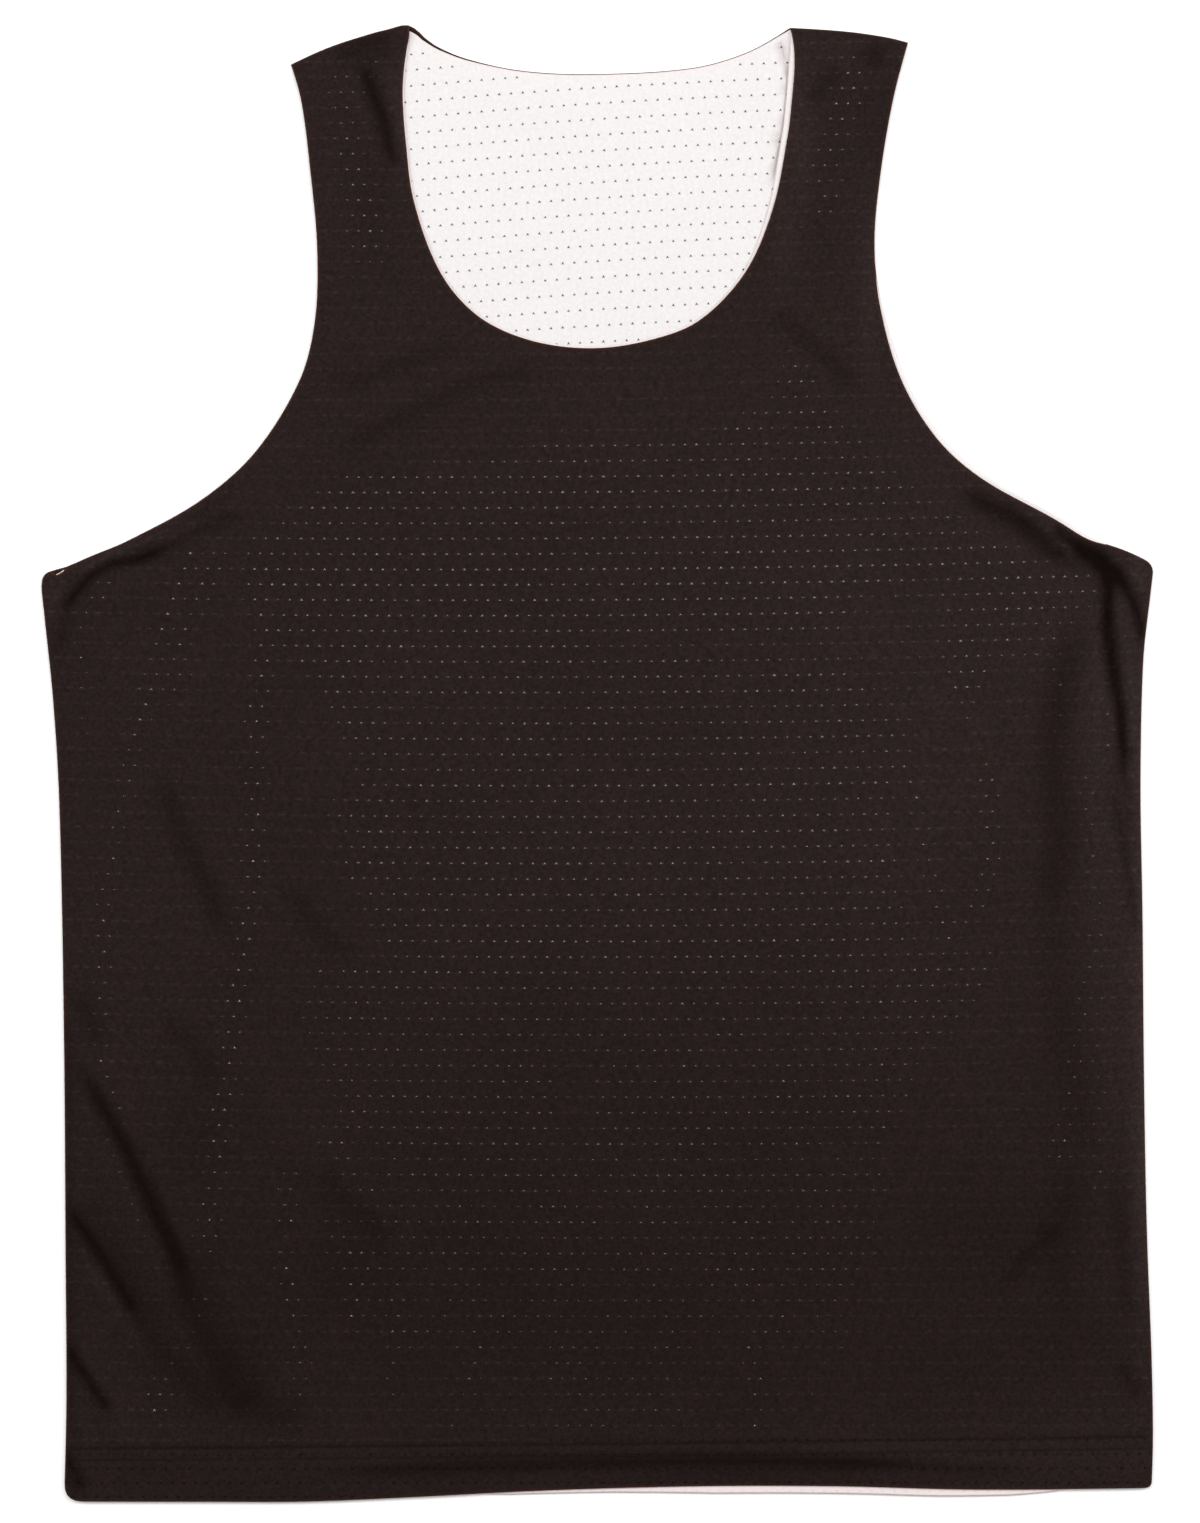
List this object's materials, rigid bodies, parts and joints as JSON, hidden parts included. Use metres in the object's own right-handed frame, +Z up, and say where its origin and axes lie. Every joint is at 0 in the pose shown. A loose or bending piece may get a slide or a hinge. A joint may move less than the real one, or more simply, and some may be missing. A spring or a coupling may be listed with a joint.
{
  "type": "basketball jersey",
  "caption": "Sleeveless reversible basketball jersey of knitted eyelet mesh, black outside and white inside, laid flat on its back.",
  "frame": {"origin": "on the surface the jersey lies on, below the middle of its box", "axes": "+Z up out of the front, +Y from the hem to the neck, +X to the right of the front as it is seen from above"},
  "size_m": [0.5617, 0.7466, 0.0115],
  "materials": {
    "black_mesh": "matt knitted polyester eyelet mesh, black",
    "white_mesh": "matt knitted polyester eyelet mesh, white"
  },
  "bodies": {
    "root": {"front_outer": "black_mesh", "front_inner": "white_mesh", "back_inner": "white_mesh", "back_outer": "black_mesh"}
  },
  "joints": []
}
